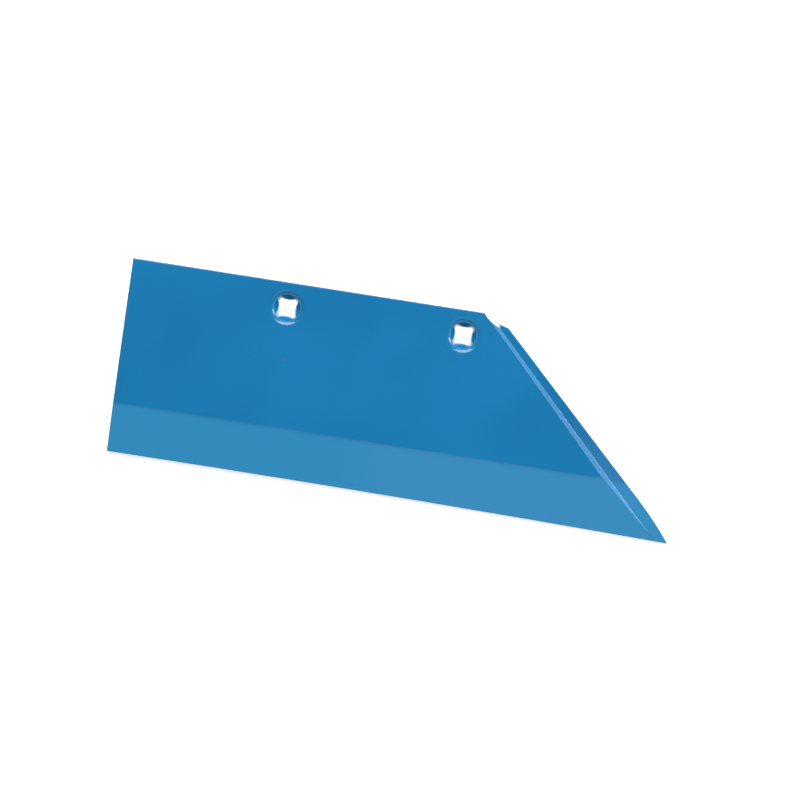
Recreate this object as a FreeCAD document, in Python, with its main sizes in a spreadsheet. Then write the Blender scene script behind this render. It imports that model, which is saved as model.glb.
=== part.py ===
import FreeCAD, Part
import math
import os
import Sketcher

# Right-hand plough share with a landside flange, one forged and ground piece of painted steel.
# Frame: origin on the back (seating) face at the wing-side bolt, +X along the bolt row to the point,
# +Y up the blade away from the cutting edge, +Z out of the soil face. Millimetres.

doc = FreeCAD.newDocument("PloughShare")
sheet = doc.addObject("Spreadsheet::Sheet", "Sizes")
sizes = {
    "plate_thickness": 8,      # blade, soil face to seating face
    "bolt_spacing": 140,       # between the two bolt holes
    "bolt_margin": 20,         # bolt row to the upper edge
    "wing_reach": 125.2,       # first bolt to the wing's upper corner
    "wing_slant": 2.5,         # the wing's lower corner is set in by this
    "blade_width": 152.9,      # upper edge to cutting edge, at the wing
    "point_drop": 3.9,         # point below the wing's lower corner
    "point_out": 6.9,          # point beyond the landside step's lower line
    "edge_hollow": 1.35,       # how far the cutting edge bows in
    "bevel_width": 39,         # ground band above the cutting edge
    "edge_thickness": 3.25,    # what the bevel leaves at the cutting edge
    "brow_round": 30,          # rounding of the band's upper line
    "heel_reach": 168.35,      # first bolt to the landside step's upper end
    "heel_margin": 9.5,        # that end above the bolt row
    "land_angle": 45.12,       # landside step to the bolt row
    "facet_width": 3.1,        # sloped step beside the landside ledge, at its upper end
    "facet_spread": 0.46,      # the step's two lines open towards the point
    "facet_angle": 45,         # the step's slope down from the soil face
    "ledge_tilt": 6,           # the ledge rises towards its outer edge
    "ledge_taper": 1.2,        # the ledge widens towards the point
    "ledge_width": 9,          # ledge where the point's curve starts
    "ledge_fall": 240,         # radius at which the ledge bends down to the bevel band
    "ledge_stop": 8.3,         # it meets the band this far before the point
    "ledge_lift": 1.2,         # and is still this much flatter there
    "nose_run": 40.1,          # the landside curves in over this length before the point
    "flange_depth": 16,        # landside flange behind the seating face, at its heel
    "flange_stop": 17.3,       # the flange has run out this far before the point
    "flange_inset": 1,         # the flange's inner wall stands this far inside the step's lower line
    "flange_root": 6,          # rounded corner between flange and seating face
    "heel_tip_along": 4,       # flange's upper tip beyond the step's end
    "heel_tip_out": 1.35,      # that tip, out from the step's lower line
    "heel_gap_along": 0.8,     # bottom of the narrow gap beside that tip
    "heel_cut_angle": 30,      # the flange's upper end runs this far off the step
    "heel_round": 3.2,         # outer corner of that end
    "relief_chord": 13.5,      # relief cut between the upper edge and the step
    "relief_depth": 1,
    "relief_reach": 4.2,       # the cut's lower end, beyond the step's end
    "relief_land": 1.7,        # and this far outside the step's upper line
    "hole_width": 12.8,        # square hole, side to side at mid side, at the back
    "hole_bow": 0.5,           # the pressed sides bow in by this
    "hole_corner": 1.8,
    "hole_draft": 12,          # the hole opens towards the soil face
    "sink_diameter": 23.6,     # round countersink at the soil face
    "sink_angle": 40,          # of its wall to its axis
    "sink_round": 6,           # rolled rim of the countersink
    "edge_round": 0.8,         # worn-off sharpness of the front edges
}
for row, (name, size) in enumerate(sizes.items(), start=1):
    sheet.set(f"A{row}", name)
    sheet.set(f"B{row}", str(size))
    sheet.setAlias(f"B{row}", name)
doc.recompute()

body = doc.addObject("PartDesign::Body", "PloughShare")
body.Label = "plough_share"


def number(expression):
    """Value of a sheet expression as a plain number."""
    found = sheet.evalExpression(expression)
    return float(getattr(found, "Value", found))


def point(x, y):
    return FreeCAD.Vector(number(x), number(y), 0)


def sketchOn(name, placement=None):
    """A sketch on the body's XY plane, moved and turned by a placement expression."""
    sketch = body.newObject("Sketcher::SketchObject", name)
    plane = next(item for item in body.Origin.OriginFeatures if item.Role == "XY_Plane")
    sketch.AttachmentSupport = [(plane, "")]
    sketch.MapMode = "FlatFace"
    if placement:
        sketch.setExpression("AttachmentOffset", placement)
    doc.recompute()
    return sketch


def line(sketch, start, end):
    index = sketch.addGeometry(Part.LineSegment(start, end), False)
    return index, 1, 2


def arc(sketch, start, end, bow):
    """An arc from start to end that bows to the left by bow (right if negative)."""
    chord = end - start
    left = FreeCAD.Vector(-chord.y, chord.x, 0).normalize()
    radius = chord.Length ** 2 / (8 * abs(bow)) + abs(bow) / 2
    side = 1 if bow > 0 else -1
    centre = (start + end) * 0.5 + left * (bow - side * radius)
    first, last = (end, start) if bow > 0 else (start, end)
    a = math.atan2(first.y - centre.y, first.x - centre.x)
    b = math.atan2(last.y - centre.y, last.x - centre.x)
    if b < a:
        b += 2 * math.pi
    circle = Part.Circle(centre, FreeCAD.Vector(0, 0, 1), radius)
    index = sketch.addGeometry(Part.ArcOfCircle(circle, a, b), False)
    return (index, 2, 1) if bow > 0 else (index, 1, 2)


def join(sketch, pieces, smooth=()):
    """Close a loop of pieces end to start; the smooth ones run on into the next without a corner."""
    for piece, following in zip(pieces, pieces[1:] + pieces[:1]):
        kind = "Tangent" if piece in smooth else "Coincident"
        sketch.addConstraint(Sketcher.Constraint(kind, piece[0], piece[2], following[0], following[1]))


def pin(sketch, piece, end, x, y):
    """Tie a piece's start (1) or end (2) to two sheet expressions."""
    where = piece[end]
    for kind, expression in (("DistanceX", x), ("DistanceY", y)):
        value = number(expression)
        index = sketch.addConstraint(Sketcher.Constraint(kind, -1, 1, piece[0], where, value))
        sketch.setExpression(f"Constraints[{index}]", expression)


def datum(sketch, constraint, expression):
    index = sketch.addConstraint(constraint)
    sketch.setExpression(f"Constraints[{index}]", expression)


def polygon(sketch, corners):
    """A closed loop of straight lines whose corners are pairs of sheet expressions."""
    spots = [point(*corner) for corner in corners]
    pieces = [line(sketch, a, b) for a, b in zip(spots, spots[1:] + spots[:1])]
    join(sketch, pieces)
    for piece, corner in zip(pieces, corners):
        pin(sketch, piece, 1, *corner)
    return pieces


def bySides(feature, oneWay, otherWay):
    """Give a pad or pocket its length each side of its sketch."""
    feature.SideType = "Two sides"
    feature.Type = "Length"
    feature.Type2 = "Length"
    feature.setExpression("Length", oneWay)
    feature.setExpression("Length2", otherWay)


def pocket(name, sketch, oneWay, otherWay):
    feature = body.newObject("PartDesign::Pocket", name)
    feature.Profile = sketch
    bySides(feature, oneWay, otherWay)
    before = body.Shape.Volume
    doc.recompute()
    if not feature.Shape.Volume < before - 1:
        raise RuntimeError(name + " cuts nothing")
    return feature


def liesOn(edge, **where):
    """Whether both ends of an edge have the given x, y or z."""
    return all(abs(getattr(end.Point, axis) - value) < 0.01 for axis, value in where.items() for end in edge.Vertexes)


def landside(spot):
    """Distance along the landside step and out from it, of a point of the solid."""
    turn = math.radians(number("Sizes.land_angle"))
    x = spot.x - number("Sizes.heel_reach")
    y = spot.y - number("Sizes.heel_margin")
    return x * math.cos(turn) - y * math.sin(turn), x * math.sin(turn) + y * math.cos(turn)


def staysOut(edge, least, most):
    """Whether both ends of an edge keep between two distances out from the step."""
    outs = [landside(end.Point)[1] for end in edge.Vertexes]
    return all(least - 0.01 <= out <= most + 0.01 for out in outs)


def runs(edge):
    """How far an edge runs along the step, and how far it climbs."""
    ends = [end.Point for end in edge.Vertexes]
    if len(ends) < 2:
        return 0, 0
    return abs(landside(ends[0])[0] - landside(ends[1])[0]), abs(ends[0].z - ends[1].z)


def fillet(name, radius, choose):
    """Round the edges of the solid so far that the rule chooses."""
    base = body.Tip
    edges = [f"Edge{index}" for index, edge in enumerate(base.Shape.Edges, start=1) if choose(edge)]
    if not edges:
        raise RuntimeError(name + " finds no edge")
    feature = body.newObject("PartDesign::Fillet", name)
    feature.Base = (base, edges)
    feature.setExpression("Radius", radius)
    doc.recompute()
    if not feature.isValid() or feature.Shape.isNull() or not feature.Shape.isValid():
        raise RuntimeError(name + " fails")
    return feature


def along(distance, out):
    """Plan position measured along the landside step and out from it."""
    turn = "Sizes.land_angle"
    x = f"Sizes.heel_reach + ({distance}) * cos({turn}) + ({out}) * sin({turn})"
    y = f"Sizes.heel_margin - ({distance}) * sin({turn}) + ({out}) * cos({turn})"
    return x, y


# ---- outline of the forging, seen on the soil face --------------------------------------------
lowerLine = "(Sizes.bolt_margin - Sizes.blade_width)"
turn = "Sizes.land_angle"
pointRise = f"(Sizes.heel_margin - {lowerLine} + Sizes.point_drop)"
pointAlong = f"(({pointRise} + Sizes.point_out * cos({turn})) / sin({turn}))"
curveAlong = f"({pointAlong} - Sizes.nose_run)"
flangeRun = f"({pointAlong} - Sizes.flange_stop)"
tip = along(pointAlong, "Sizes.point_out")


def bowInto(start, end, heading):
    """Bow of the arc from start that arrives at end along a heading."""
    chord = end - start
    turned = math.atan2(chord.x * heading.y - chord.y * heading.x, chord.x * heading.x + chord.y * heading.y)
    return -chord.Length / 2 * math.tan(turned / 2)


def outline():
    sketch = sketchOn("Outline")
    wingTop = ("-Sizes.wing_reach", "Sizes.bolt_margin")
    wingLow = ("-Sizes.wing_reach + Sizes.wing_slant", lowerLine)
    curve = along(curveAlong, "Sizes.ledge_width")
    heelTip = along("-Sizes.heel_tip_along", "Sizes.heel_tip_out")
    gap = along("-Sizes.heel_gap_along", "0")
    stepEnd = along("-Sizes.relief_reach", "-(Sizes.facet_width - Sizes.relief_land)")
    reliefX = stepEnd[0] + " - sqrt(pow(Sizes.relief_chord; 2) - pow(Sizes.bolt_margin - (" + stepEnd[1] + "); 2))"
    relief = (reliefX, "Sizes.bolt_margin")

    # where the flange's upper end meets the outer line, before the corner is rounded
    taper = "tan(Sizes.ledge_taper)"
    span = f"(Sizes.ledge_width - ({curveAlong} + Sizes.heel_tip_along) * {taper} - Sizes.heel_tip_out)"
    slant = f"(sin(Sizes.heel_cut_angle) - cos(Sizes.heel_cut_angle) * {taper})"
    cornerAlong = f"({span} / {slant} * cos(Sizes.heel_cut_angle) - Sizes.heel_tip_along)"
    cornerOut = f"(Sizes.ledge_width - ({curveAlong} - {cornerAlong}) * {taper})"
    corner = point(*along(cornerAlong, cornerOut))
    curveStart = point(*curve)
    tipPoint = point(*tip)
    heel = point(*heelTip)
    back = (curveStart - corner).normalize()
    away = (heel - corner).normalize()
    half = (math.pi - back.getAngle(away)) / 2
    reach = number("Sizes.heel_round") * math.tan(half)
    cornerBow = number("Sizes.heel_round") * (1 - math.cos(half))

    wing = line(sketch, point(*wingTop), point(*wingLow))
    cutting = arc(sketch, point(*wingLow), tipPoint, number("Sizes.edge_hollow"))
    nose = arc(sketch, tipPoint, curveStart, bowInto(tipPoint, curveStart, -back))
    side = line(sketch, curveStart, corner + back * reach)
    cornerArc = arc(sketch, corner + back * reach, corner + away * reach, -cornerBow)
    end = line(sketch, corner + away * reach, heel)
    gapSide = line(sketch, heel, point(*gap))
    stepSide = line(sketch, point(*gap), point(*stepEnd))
    reliefArc = arc(sketch, point(*stepEnd), point(*relief), number("Sizes.relief_depth"))
    top = line(sketch, point(*relief), point(*wingTop))
    pieces = [wing, cutting, nose, side, cornerArc, end, gapSide, stepSide, reliefArc, top]
    join(sketch, pieces, smooth=(nose, side, cornerArc))
    pin(sketch, wing, 1, *wingTop)
    pin(sketch, wing, 2, *wingLow)
    pin(sketch, cutting, 2, *tip)
    pin(sketch, side, 1, *curve)
    pin(sketch, end, 2, *heelTip)
    pin(sketch, gapSide, 2, *gap)
    pin(sketch, stepSide, 2, *stepEnd)
    pin(sketch, top, 1, *relief)
    chord = f"pow({tip[0]} + Sizes.wing_reach - Sizes.wing_slant; 2) + pow(Sizes.point_drop; 2)"
    datum(sketch, Sketcher.Constraint("Radius", cutting[0], 17000),
          f"({chord}) / (8 * Sizes.edge_hollow) + Sizes.edge_hollow / 2")
    datum(sketch, Sketcher.Constraint("Radius", reliefArc[0], 17),
          "pow(Sizes.relief_chord; 2) / (8 * Sizes.relief_depth) + Sizes.relief_depth / 2")
    datum(sketch, Sketcher.Constraint("Radius", cornerArc[0], 3), "Sizes.heel_round")
    datum(sketch, Sketcher.Constraint("Angle", side[0], math.radians(135)),
          "180 - Sizes.land_angle + Sizes.ledge_taper")
    datum(sketch, Sketcher.Constraint("Angle", end[0], math.radians(165)),
          "180 - Sizes.land_angle + Sizes.heel_cut_angle")
    return sketch


blank = body.newObject("PartDesign::Pad", "Blank")
blank.Profile = outline()
bySides(blank, "Sizes.plate_thickness", "Sizes.flange_depth")
doc.recompute()


# ---- landside flange: the rest of the back is cleared away round it ---------------------------
alongPlane = "placement(vector(Sizes.heel_reach; Sizes.heel_margin; 0); rotation(-Sizes.land_angle; 0; 90))"


def clearBack():
    sketch = sketchOn("BackClearance")
    inner = "-Sizes.flange_inset"
    far = f"-({pointAlong} + Sizes.wing_reach)"
    beyond = f"{flangeRun} + Sizes.blade_width"
    polygon(sketch, [along(far, inner), along(far, far), along(beyond, far), along(beyond, inner)])
    return pocket("BackOfBlade", sketch, "Sizes.flange_depth + 1", "0")


def taperFlange():
    sketch = sketchOn("FlangeSide", alongPlane)
    before = "-2 * Sizes.flange_depth"
    slope = f"Sizes.flange_depth / ({flangeRun} + Sizes.heel_tip_along)"
    floor = "-2 * Sizes.flange_depth"
    polygon(sketch, [
        (before, f"({before} - {flangeRun}) * {slope}"),
        (flangeRun, "0"),
        (f"{flangeRun} + Sizes.blade_width", "0"),
        (f"{flangeRun} + Sizes.blade_width", floor),
        (before, floor),
    ])
    return pocket("FlangeTaper", sketch, "Sizes.blade_width", "Sizes.blade_width")


clearBack()
wall = -number("Sizes.flange_inset")
fillet("FlangeRoot", "Sizes.flange_root", lambda edge: liesOn(edge, z=0) and staysOut(edge, wall, wall))
taperFlange()


# ---- soil face: bevel band along the cutting edge, step and ledge along the landside -----------
bandSlope = "((Sizes.plate_thickness - Sizes.edge_thickness) / Sizes.bevel_width)"


def bevel():
    """The band is ground flat, in a plane square to the blade's ends; its upper line is rounded over."""
    sketch = sketchOn("BevelSection", "placement(vector(-Sizes.wing_reach; 0; 0); rotation(90; 0; 90))")
    brink = f"({lowerLine} + Sizes.bevel_width)"
    reach = "(2 * Sizes.bevel_width)"
    high = "2 * Sizes.plate_thickness"
    polygon(sketch, [
        (brink, "Sizes.plate_thickness"),
        (f"{brink} - {reach}", f"Sizes.plate_thickness - {reach} * {bandSlope}"),
        (f"{brink} - {reach}", high),
        (brink, high),
    ])
    pocket("Bevel", sketch, "Sizes.bevel_width", f"Sizes.wing_reach + {tip[0]} + Sizes.bevel_width")
    low = number(brink)
    front = number("Sizes.plate_thickness")
    fillet("Brow", "Sizes.brow_round", lambda edge: liesOn(edge, y=low, z=front))


def step():
    """The sloped step and the ledge below it, swept along a line that bends down to the band."""
    heelHeight = "(Sizes.plate_thickness - Sizes.facet_width * tan(Sizes.facet_angle))"
    firstFall = "(tan(Sizes.facet_spread) * tan(Sizes.facet_angle))"
    bandFall = f"({bandSlope} * sin({turn}))"
    lastFall = f"tan(atan({bandFall}) - Sizes.ledge_lift * 1 deg)"
    stop = f"({pointAlong} - Sizes.ledge_stop)"
    stopHeight = f"(Sizes.edge_thickness + (Sizes.heel_margin - {lowerLine}) * {bandSlope} - {stop} * {bandFall})"
    bend = f"(({stopHeight} + {stop} * {lastFall} - {heelHeight}) / ({lastFall} - {firstFall}))"
    half = f"((atan({lastFall}) - atan({firstFall})) / 2)"
    reach = f"(Sizes.ledge_fall * tan({half}))"
    before = "(-2 * (Sizes.heel_tip_along + Sizes.facet_width))"
    beyond = f"({pointAlong} + Sizes.nose_run)"

    path = sketchOn("StepPath", alongPlane)
    start = (before, f"{heelHeight} - {before} * {firstFall}")
    bendStart = (f"{bend} - {reach} * cos(atan({firstFall}))", f"{heelHeight} - ({bend} - {reach} * cos(atan({firstFall}))) * {firstFall}")
    bendEnd = (f"{bend} + {reach} * cos(atan({lastFall}))", f"{stopHeight} + ({stop} - ({bend} + {reach} * cos(atan({lastFall})))) * {lastFall}")
    end = (beyond, f"{stopHeight} + ({stop} - {beyond}) * {lastFall}")
    bow = number(f"Sizes.ledge_fall * (1 - cos({half}))")
    run = line(path, point(*start), point(*bendStart))
    curve = arc(path, point(*bendStart), point(*bendEnd), bow)
    tail = line(path, point(*bendEnd), point(*end))
    path.addConstraint(Sketcher.Constraint("Coincident", run[0], run[2], curve[0], curve[1]))
    path.addConstraint(Sketcher.Constraint("Coincident", curve[0], curve[2], tail[0], tail[1]))
    pin(path, run, 1, *start)
    pin(path, run, 2, *bendStart)
    pin(path, tail, 1, *bendEnd)
    pin(path, tail, 2, *end)
    datum(path, Sketcher.Constraint("Radius", curve[0], number("Sizes.ledge_fall")), "Sizes.ledge_fall")

    place = ", ".join(along(before, "0")).replace(", ", "; ")
    tilted = f"rotation((90 - Sizes.land_angle) * 1 deg; 0 deg; 90 deg + atan({firstFall}))"
    section = sketchOn("StepSection", f"placement(vector({place}; {start[1]}); {tilted})")
    high = "(3 * Sizes.plate_thickness)"
    polygon(section, [
        ("0", "0"),
        (high, f"{high} * tan(Sizes.ledge_tilt)"),
        (high, high),
        (f"-{high} / tan(Sizes.facet_angle)", high),
    ])
    feature = body.newObject("PartDesign::SubtractivePipe", "Step")
    feature.Profile = section
    feature.Spine = (path, ["Edge1", "Edge2", "Edge3"])
    uncut = body.Shape.Volume
    doc.recompute()
    if not feature.Shape.Volume < uncut - 1:
        raise RuntimeError("the step cuts nothing")
    return feature


bevel()
step()


# ---- bolt holes: square, pressed, with round countersinks on the soil face ---------------------
def squareHole():
    sketch = sketchOn("SquareHole")
    half = "(Sizes.hole_width / 2 + Sizes.hole_bow)"
    inner = f"({half} - Sizes.hole_corner)"
    signs = ((1, 1), (-1, 1), (-1, -1), (1, -1))
    ends = []
    for sx, sy in signs:
        nearX = (f"{sx} * {half}", f"{sy} * {inner}")
        nearY = (f"{sx} * {inner}", f"{sy} * {half}")
        ends += [nearX, nearY] if sx * sy > 0 else [nearY, nearX]
    spots = [point(*spot) for spot in ends]
    cornerBow = -sizes["hole_corner"] * (1 - math.sqrt(0.5))
    pieces = []
    for index, (a, b) in enumerate(zip(spots, spots[1:] + spots[:1])):
        pieces.append(arc(sketch, a, b, sizes["hole_bow"] if index % 2 else cornerBow))
    join(sketch, pieces)
    for index, (piece, spot) in enumerate(zip(pieces, ends)):
        pin(sketch, piece, 1, *spot)
        if index % 2:
            radius = f"pow(2 * {inner}; 2) / (8 * Sizes.hole_bow) + Sizes.hole_bow / 2"
        else:
            radius = "Sizes.hole_corner"
        datum(sketch, Sketcher.Constraint("Radius", piece[0], number(radius)), radius)
    feature = pocket("Hole", sketch, "Sizes.plate_thickness", "Sizes.plate_thickness")
    feature.setExpression("TaperAngle2", "Sizes.hole_draft")
    doc.recompute()
    return feature


def countersink():
    sketch = sketchOn("SinkSection", "placement(vector(0; 0; 0); rotation(0; 0; 90))")
    high = "2 * Sizes.plate_thickness"
    depth = "Sizes.sink_diameter / 2 / tan(Sizes.sink_angle)"
    polygon(sketch, [
        ("0", f"Sizes.plate_thickness - {depth}"),
        ("Sizes.sink_diameter / 2", "Sizes.plate_thickness"),
        ("Sizes.sink_diameter / 2", high),
        ("0", high),
    ])
    feature = body.newObject("PartDesign::Groove", "Countersink")
    feature.Profile = sketch
    feature.ReferenceAxis = (sketch, ["V_Axis"])
    feature.Angle = 360
    before = body.Shape.Volume
    doc.recompute()
    if not feature.Shape.Volume < before - 1:
        raise RuntimeError("the countersink cuts nothing")
    return feature


def boltRow(*originals):
    feature = body.newObject("PartDesign::LinearPattern", "BoltRow")
    feature.Originals = list(originals)
    axis = next(item for item in body.Origin.OriginFeatures if item.Role == "X_Axis")
    feature.Direction = (axis, [""])
    feature.setExpression("Length", "Sizes.bolt_spacing")
    feature.Occurrences = 2
    body.Tip = feature
    doc.recompute()
    return feature


boltRow(squareHole(), countersink())


# ---- worn and painted-over edges --------------------------------------------------------------
def roundEdges():
    front = number("Sizes.plate_thickness")
    upper = number("Sizes.bolt_margin")
    rim = number("Sizes.sink_diameter / 2")
    wingSide = number("-Sizes.wing_reach + Sizes.wing_slant")
    blunt = number("Sizes.edge_thickness")
    heelWidth = number(f"Sizes.ledge_width - {curveAlong} * tan(Sizes.ledge_taper)")

    def isRim(edge):
        return len(edge.Vertexes) == 1 and abs(getattr(edge.Curve, "Radius", 0) - rim) < 0.01

    def isFrontEdge(edge):
        ends = [end.Point for end in edge.Vertexes]
        atWing = all(end.x < wingSide + 1 and end.z > blunt - 0.01 for end in ends)
        return len(ends) == 2 and (atWing or liesOn(edge, y=upper, z=front))

    def isLedgeEdge(edge):
        length, climb = runs(edge)
        inFront = all(end.Point.z > number("Sizes.edge_thickness") / 2 for end in edge.Vertexes)
        return length > climb and inFront and staysOut(edge, heelWidth - 0.5, 3 * heelWidth)

    fillet("RolledRims", "Sizes.sink_round", isRim)
    fillet("FrontEdges", "Sizes.edge_round", isFrontEdge)
    fillet("LedgeEdge", "Sizes.edge_round", isLedgeEdge)


roundEdges()

doc.recompute()
for item in doc.Objects:
    if "Invalid" in item.State or "Error" in item.State:
        raise RuntimeError(item.Label + " failed")
if body.Shape.isNull() or not body.Shape.isValid() or len(body.Shape.Solids) != 1:
    raise RuntimeError(body.Label + " is not one valid solid")

os.makedirs("parts", exist_ok=True)
body.Shape.exportStep("parts/" + body.Label + ".step")
print(body.Label, round(body.Shape.Volume), "mm3", body.Shape.BoundBox)
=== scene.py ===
import bmesh
import bpy
import math
from mathutils import Matrix, Vector


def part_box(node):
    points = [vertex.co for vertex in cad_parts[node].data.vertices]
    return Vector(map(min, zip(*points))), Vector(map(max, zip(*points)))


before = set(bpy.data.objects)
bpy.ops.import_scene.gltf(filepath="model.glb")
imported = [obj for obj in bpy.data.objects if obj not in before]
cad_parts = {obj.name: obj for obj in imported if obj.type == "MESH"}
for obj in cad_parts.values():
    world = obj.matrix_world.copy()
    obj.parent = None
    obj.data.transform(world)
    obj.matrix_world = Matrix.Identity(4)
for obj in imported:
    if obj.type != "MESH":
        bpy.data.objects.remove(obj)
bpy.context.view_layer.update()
scene = bpy.context.scene
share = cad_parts["plough_share"]
low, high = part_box("plough_share")
print("share loaded", [round(side, 4) for side in high - low])


# screen values from 0 to 255, brought to the shader's own scale
def linear(*screen):
    parts = [value / 255 for value in screen]
    return tuple(c / 12.92 if c <= 0.04 else ((c + 0.055) / 1.055) ** 2.4 for c in parts) + (1,)


def newMaterial(name):
    material = bpy.data.materials.new(name)
    material.use_nodes = True
    material.node_tree.nodes.clear()
    return material, material.node_tree


def addNode(tree, kind, x, y, **settings):
    node = tree.nodes.new(kind)
    node.location = (x, y)
    for name, value in settings.items():
        setattr(node, name, value)
    return node


def setInputs(node, values):
    for name, value in values.items():
        node.inputs[name].default_value = value


def wire(tree, source, output, target, socket):
    tree.links.new(source.outputs[output], target.inputs[socket])


def mapRange(tree, x, y, fromMin, fromMax, toMin=0.0, toMax=1.0):
    node = addNode(tree, "ShaderNodeMapRange", x, y, interpolation_type="SMOOTHSTEP")
    setInputs(node, {"From Min": fromMin, "From Max": fromMax, "To Min": toMin, "To Max": toMax})
    return node


paint = {
    "deep": linear(4, 119, 175),
    "warm": linear(9, 126, 183),
    "patchScale": 9.0,              # broad, faint unevenness of the film
    "patchDetail": 2.0,
    "patchSpread": (0.3, 0.7),      # of the noise, from the deep tone to the warm one
    "band": linear(14, 140, 196),   # painted sheen: the ground bevel band is painted a lighter tone, standing in for the brighter light it catches
    "bandTop": -0.0935,             # that tone starts here, up the blade
    "bandFull": -0.0975,
    "edgeReach": 0.0012,            # thin strip along sharp edges and into creases: painted shade darkens the film colour there, and the coat is duller
    "edgeTurn": (0.995, 0.93),      # cosine of the turn where it starts and is full
    "paintedEdgeShadeTone": linear(14, 84, 124),
    "paintedEdgeShadeShare": 0.6,               # how far the tone goes over to it
    "edgeCoat": 0.35,               # coat left there
    "softening": 0.0005,            # film drawn round over sharp edges
    "peelScale": 420.0,             # orange peel, about 2.4 mm across
    "peelDetail": 1.5,
    "peelHeight": 0.00003,
    "coatSmooth": 0.055,
    "coatDull": 0.095,
    "speck": (0.0041, -0.0409, 0.008),  # grain of rust-red dust in the film
    "speckReach": 0.0013,
    "speckTone": linear(96, 96, 124),
    "speckShare": 0.5,
    "roughness": 0.34,
    "specular": 0.1,
}


# colour of the film: patches, the bevel band painted lighter as painted sheen, painted shade along edges
# and creases, and one speck, mixed in that order
def filmColour(tree, place, patches, edge):
    face = addNode(tree, "ShaderNodeMix", -700, 500, data_type="RGBA")
    setInputs(face, {"A": paint["deep"], "B": paint["warm"]})
    spread = mapRange(tree, -900, 500, *paint["patchSpread"])
    wire(tree, patches, "Fac", spread, "Value")
    wire(tree, spread, "Result", face, "Factor")

    # painted sheen: down the blade past this line the film is painted lighter, for the light the bevel
    # band catches
    split = addNode(tree, "ShaderNodeSeparateXYZ", -1100, 250)
    bandMask = mapRange(tree, -900, 250, paint["bandTop"], paint["bandFull"])
    band = addNode(tree, "ShaderNodeMix", -500, 450, data_type="RGBA")
    setInputs(band, {"B": paint["band"]})
    wire(tree, place, "Object", split, "Vector")
    wire(tree, split, "Y", bandMask, "Value")
    wire(tree, bandMask, "Result", band, "Factor")
    wire(tree, face, "Result", band, "A")

    # painted shade: along sharp edges and in creases, such as the ledge root and hole rims, the film
    # colour is darkened
    paintedEdgeShadeAmount = addNode(tree, "ShaderNodeMath", -500, 200, operation="MULTIPLY")
    paintedEdgeShadeAmount.inputs[1].default_value = paint["paintedEdgeShadeShare"]
    paintedEdgeShade = addNode(tree, "ShaderNodeMix", -300, 400, data_type="RGBA")
    setInputs(paintedEdgeShade, {"B": paint["paintedEdgeShadeTone"]})
    wire(tree, edge, "Result", paintedEdgeShadeAmount, 0)
    wire(tree, paintedEdgeShadeAmount, "Value", paintedEdgeShade, "Factor")
    wire(tree, band, "Result", paintedEdgeShade, "A")

    off = addNode(tree, "ShaderNodeVectorMath", -1100, 750, operation="DISTANCE")
    off.inputs[1].default_value = paint["speck"]
    speckMask = mapRange(tree, -900, 750, 0.0, paint["speckReach"], paint["speckShare"], 0.0)
    speck = addNode(tree, "ShaderNodeMix", -100, 400, data_type="RGBA")
    setInputs(speck, {"B": paint["speckTone"]})
    wire(tree, place, "Object", off, 0)
    wire(tree, off, "Value", speckMask, "Value")
    wire(tree, speckMask, "Result", speck, "Factor")
    wire(tree, paintedEdgeShade, "Result", speck, "A")
    return speck


def paintMaterial():
    material, tree = newMaterial("glossBluePaint")
    place = addNode(tree, "ShaderNodeTexCoord", -1400, 0)
    patches = addNode(tree, "ShaderNodeTexNoise", -1100, 500)
    setInputs(patches, {"Scale": paint["patchScale"], "Detail": paint["patchDetail"]})
    wire(tree, place, "Object", patches, "Vector")

    # how far the surface turns away close by marks its sharp edges
    around = addNode(tree, "ShaderNodeBevel", -1100, 0, samples=8)
    setInputs(around, {"Radius": paint["edgeReach"]})
    surface = addNode(tree, "ShaderNodeNewGeometry", -1100, -150)
    alike = addNode(tree, "ShaderNodeVectorMath", -900, 0, operation="DOT_PRODUCT")
    edge = mapRange(tree, -700, 0, *paint["edgeTurn"])
    wire(tree, around, "Normal", alike, 0)
    wire(tree, surface, "Normal", alike, 1)
    wire(tree, alike, "Value", edge, "Value")
    coat = mapRange(tree, -300, 0, 0.0, 1.0, 1.0, paint["edgeCoat"])
    wire(tree, edge, "Result", coat, "Value")
    gloss = mapRange(tree, -300, -200, *paint["patchSpread"], paint["coatSmooth"], paint["coatDull"])
    wire(tree, patches, "Fac", gloss, "Value")

    soft = addNode(tree, "ShaderNodeBevel", -900, -500, samples=8)
    setInputs(soft, {"Radius": paint["softening"]})
    peel = addNode(tree, "ShaderNodeTexNoise", -900, -350)
    setInputs(peel, {"Scale": paint["peelScale"], "Detail": paint["peelDetail"]})
    bump = addNode(tree, "ShaderNodeBump", -500, -400)
    setInputs(bump, {"Strength": 1.0, "Distance": paint["peelHeight"]})
    wire(tree, place, "Object", peel, "Vector")
    wire(tree, peel, "Fac", bump, "Height")
    wire(tree, soft, "Normal", bump, "Normal")

    shader = addNode(tree, "ShaderNodeBsdfPrincipled", 200, 0)
    setInputs(shader, {"Roughness": paint["roughness"], "Specular IOR Level": paint["specular"]})
    wire(tree, filmColour(tree, place, patches, edge), "Result", shader, "Base Color")
    wire(tree, coat, "Result", shader, "Coat Weight")
    wire(tree, gloss, "Result", shader, "Coat Roughness")
    wire(tree, bump, "Normal", shader, "Normal")
    wire(tree, bump, "Normal", shader, "Coat Normal")
    out = addNode(tree, "ShaderNodeOutputMaterial", 500, 0)
    wire(tree, shader, "BSDF", out, "Surface")
    return material


share.data.materials.clear()
share.data.materials.append(paintMaterial())
print("paint on")

stage = {
    "floorRadius": 6.0,
    "wallRadius": 8.5,
    "wallHeight": 4.0,
    "segments": 72,
    "bendSegments": 12,
    "shade": 0.86,
    "nearGlow": 0.7,   # added to the lit floor for camera and reflections, close to the share
    "farGlow": 1.0,
    "nearRadius": 0.45,
    "farRadius": 1.6,
    "clearance": 0.0001,
    "downBlade": 3,     # the wing's lower corner is found by how far down the blade and out it lies
}


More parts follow.
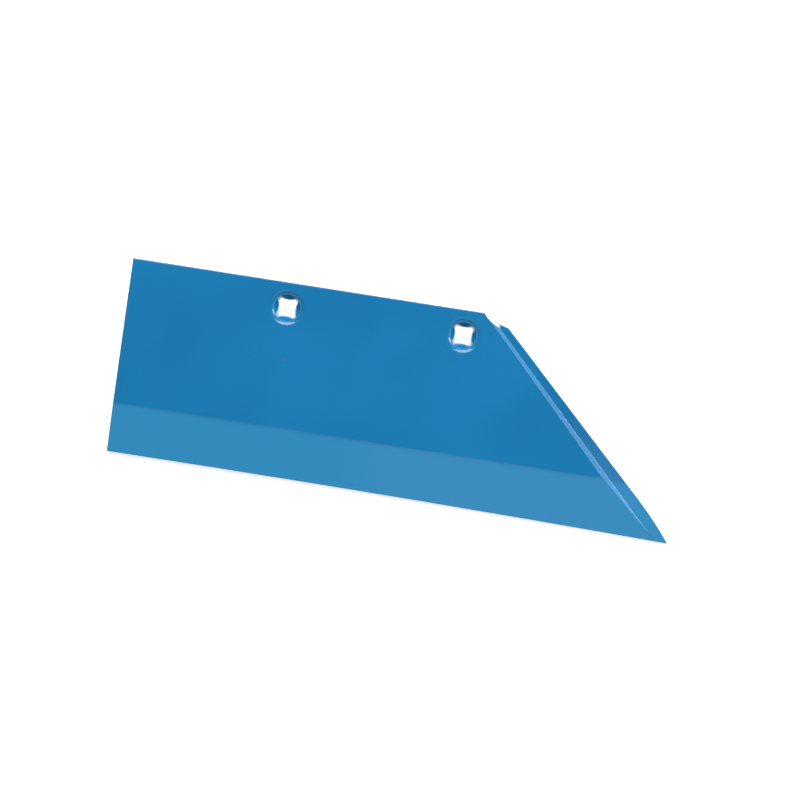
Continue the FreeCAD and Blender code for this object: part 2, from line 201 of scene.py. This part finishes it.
# the share lies on its cutting edge's two ends and the heel of its flange
def restPlane():
    spots = [vertex.co.copy() for vertex in share.data.vertices]
    heel = min(spots, key=lambda spot: spot.z)
    point = max(spots, key=lambda spot: spot.x)
    wing = min(spots, key=lambda spot: spot.y * stage["downBlade"] + spot.x + spot.z)
    normal = (point - wing).cross(heel - wing).normalized()
    if normal.z < 0:
        normal.negate()
    drop = min((spot - heel).dot(normal) for spot in spots)
    return heel + normal * (drop - stage["clearance"]), normal


# matt floor whose glow only camera, mirror and see-through rays meet, so it adds no light
def stageMaterial():
    material, tree = newMaterial("paleFloor")
    rays = addNode(tree, "ShaderNodeLightPath", -900, 300)
    seen = addNode(tree, "ShaderNodeMath", -700, 300, operation="MAXIMUM")
    mirrored = addNode(tree, "ShaderNodeMath", -520, 300, operation="MAXIMUM")
    wire(tree, rays, "Is Camera Ray", seen, 0)
    wire(tree, rays, "Is Glossy Ray", seen, 1)
    wire(tree, seen, "Value", mirrored, 0)
    wire(tree, rays, "Is Transmission Ray", mirrored, 1)

    place = addNode(tree, "ShaderNodeTexCoord", -900, 0)
    away = addNode(tree, "ShaderNodeVectorMath", -700, 0, operation="LENGTH")
    fade = mapRange(tree, -520, 0, stage["nearRadius"], stage["farRadius"],
                    stage["nearGlow"], stage["farGlow"])
    lift = addNode(tree, "ShaderNodeMath", -300, 200, operation="MULTIPLY")
    glow = addNode(tree, "ShaderNodeEmission", -100, 200)
    wire(tree, place, "Object", away, 0)
    wire(tree, away, "Value", fade, "Value")
    wire(tree, mirrored, "Value", lift, 0)
    wire(tree, fade, "Result", lift, 1)
    wire(tree, lift, "Value", glow, "Strength")

    matt = addNode(tree, "ShaderNodeBsdfDiffuse", -100, 0)
    setInputs(matt, {"Color": (stage["shade"],) * 3 + (1,)})
    both = addNode(tree, "ShaderNodeAddShader", 100, 100)
    out = addNode(tree, "ShaderNodeOutputMaterial", 300, 0)
    wire(tree, matt, "BSDF", both, 0)
    wire(tree, glow, "Emission", both, 1)
    wire(tree, both, "Shader", out, "Surface")
    return material


def studioBowl():
    spot, normal = restPlane()
    shape = bmesh.new()
    bmesh.ops.create_circle(shape, cap_ends=True, segments=stage["segments"], radius=stage["wallRadius"])
    corner = list(shape.edges)
    wall = bmesh.ops.extrude_edge_only(shape, edges=corner)["geom"]
    rim = [piece for piece in wall if isinstance(piece, bmesh.types.BMVert)]
    bmesh.ops.translate(shape, verts=rim, vec=(0, 0, stage["wallHeight"]))
    bend = stage["wallRadius"] - stage["floorRadius"]
    bmesh.ops.bevel(shape, geom=corner, offset=bend, offset_type="OFFSET", affect="EDGES",
                    segments=stage["bendSegments"], profile=0.5, material=-1)
    for face in shape.faces:
        face.smooth = True
    lie = Matrix.Translation(spot) @ normal.to_track_quat("Z", "Y").to_matrix().to_4x4()
    bmesh.ops.transform(shape, matrix=lie, verts=shape.verts)
    mesh = bpy.data.meshes.new("studioBowl")
    shape.to_mesh(mesh)
    shape.free()
    bowl = bpy.data.objects.new("studioBowl", mesh)
    scene.collection.objects.link(bowl)
    mesh.materials.append(stageMaterial())
    print("floor tilt", round(math.degrees(normal.angle(Vector((0, 0, 1)))), 2))


studioBowl()

# angles round the share and up from its face; level is the lamp's own brightness
lamps = {
    "overhead": {"azimuth": 98, "elevation": 50, "distance": 4.0, "size": (2.5, 2.5), "level": 7.2},
    "side": {"azimuth": 30, "elevation": 22, "distance": 5.0, "size": (2.0, 1.1), "level": 13.0},
    "landPanel": {"azimuth": 45, "elevation": 9.5, "distance": 5.0, "size": (2.6, 1.6), "level": 1.9},
    "panelWing": {"azimuth": -90, "elevation": 74, "distance": 3.0, "size": (1.6, 0.7), "level": 0.5},
    "panelPoint": {"azimuth": -90, "elevation": 74, "distance": 3.0, "size": (1.6, 0.7), "level": 0.75},
}
lampAim = (0.1, -0.06)
panelShift = {"panelWing": -0.85, "panelPoint": 0.75}   # the two lie end to end along the band
ceiling = 0.18


def addLamp(name, values):
    light = bpy.data.lights.new(name, "AREA")
    light.shape = "RECTANGLE"
    light.size, light.size_y = values["size"]
    light.energy = values["level"] * math.pi * light.size * light.size_y
    turn = math.radians(values["azimuth"])
    climb = math.radians(values["elevation"])
    away = Vector((math.cos(turn) * math.cos(climb), math.sin(turn) * math.cos(climb), math.sin(climb)))
    lamp = bpy.data.objects.new(name, light)
    scene.collection.objects.link(lamp)
    aim = Vector((lampAim[0] + panelShift.get(name, 0), lampAim[1], 0))
    lamp.location = aim + away * values["distance"]
    lamp.rotation_euler = away.to_track_quat("Z", "Y").to_euler()
    lamp.visible_camera = False


for name, values in lamps.items():
    addLamp(name, values)
world = bpy.data.worlds.new("ceiling")
scene.world = world
world.use_nodes = True
sky = world.node_tree.nodes["Background"]
setInputs(sky, {"Color": (1, 1, 1, 1), "Strength": ceiling})
print("lamps on")

view = {
    "aim": (0.0988, -0.0578),   # middle of the view on the soil face
    "width": 0.6272,            # of the view at that face
    "roll": 8.9,
    "height": 2.6,
    "sensor": 36,
    "farthest": 50,
}


def addCamera():
    data = bpy.data.cameras.new("camera")
    data.sensor_width = view["sensor"]
    data.lens = view["sensor"] * view["height"] / view["width"]
    data.clip_end = view["farthest"]
    camera = bpy.data.objects.new("camera", data)
    scene.collection.objects.link(camera)
    camera.location = (*view["aim"], high.z + view["height"])
    camera.rotation_euler = (0, 0, math.radians(view["roll"]))
    scene.camera = camera


addCamera()
scene.view_settings.view_transform = "Standard"
print("camera set")
